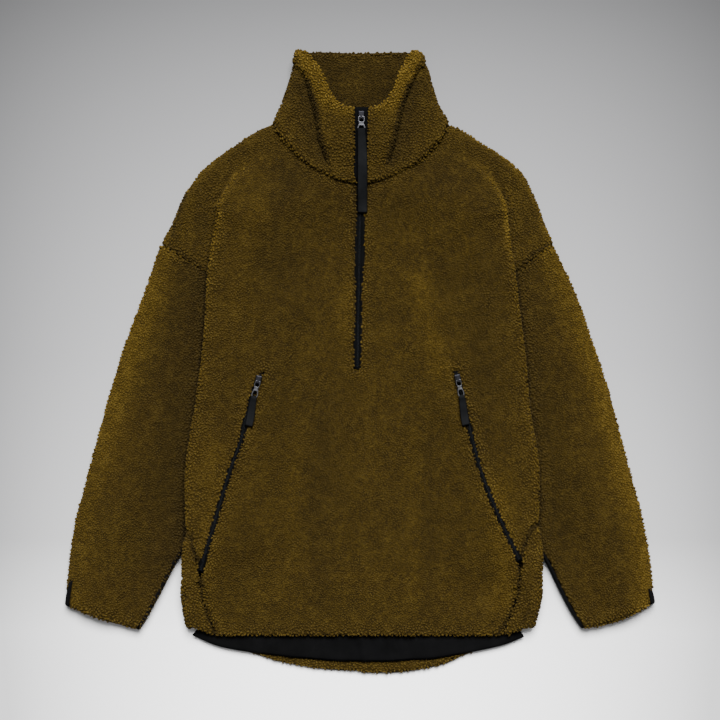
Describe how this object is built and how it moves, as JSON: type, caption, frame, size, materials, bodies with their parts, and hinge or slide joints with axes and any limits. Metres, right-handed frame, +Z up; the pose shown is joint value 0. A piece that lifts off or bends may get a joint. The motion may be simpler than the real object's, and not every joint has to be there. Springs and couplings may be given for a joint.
{
  "type": "half-zip fleece pullover",
  "caption": "Long-sleeved pullover in curly sherpa fleece with funnel collar, half zip, two slanted zip pockets and black woven under-sleeves, laid flat face up.",
  "frame": {"origin": "middle of the bounding box, on the surface it lies on", "axes": "+Z up out of the front of the garment, +Y from hem to collar, +X towards the wearer's left sleeve"},
  "size_m": [0.7933, 0.8374, 0.0448],
  "materials": {
    "sherpa": "curly pile, matt",
    "woven": "smooth black woven, slight sheen",
    "zip_chain": "coil chain, slight sheen",
    "zip_metal": "satin",
    "webbing": "ribbed webbing"
  },
  "bodies": {
    "garment": {"front": "sherpa", "back": "sherpa", "collar": "sherpa", "side_panel_left": "sherpa", "side_panel_right": "sherpa", "sleeve_left": "sherpa", "sleeve_right": "sherpa", "sleeve_under_left": "woven", "sleeve_under_right": "woven", "hem_facing": "woven", "front_zip_chain": "zip_chain", "front_zip_slider": "zip_metal", "pocket_zip_left_chain": "zip_chain", "pocket_zip_left_slider": "zip_metal", "pocket_zip_right_chain": "zip_chain", "pocket_zip_right_slider": "zip_metal"},
    "front_zip_puller": {"front_zip_pull": "zip_metal", "front_zip_strap": "webbing"},
    "pocket_zip_left_puller": {"pocket_zip_left_pull": "zip_metal", "pocket_zip_left_strap": "webbing"},
    "pocket_zip_right_puller": {"pocket_zip_right_pull": "zip_metal", "pocket_zip_right_strap": "webbing"}
  },
  "joints": [
    {"name": "front_zip_puller_hinge", "type": "hinge", "parent": "garment", "child": "front_zip_puller", "pos_m": [0.00188, 0.3275, 0.03802], "axis": [-1, 0, 0], "range_deg": [0, 140]},
    {"name": "pocket_zip_left_puller_hinge", "type": "hinge", "parent": "garment", "child": "pocket_zip_left_puller", "pos_m": [0.13193, -0.02674, 0.03886], "axis": [-0.9781, -0.2079, 0], "range_deg": [0, 140]},
    {"name": "pocket_zip_right_puller_hinge", "type": "hinge", "parent": "garment", "child": "pocket_zip_right_puller", "pos_m": [-0.137, -0.02836, 0.04041], "axis": [-0.9703, 0.2419, 0], "range_deg": [0, 140]}
  ]
}
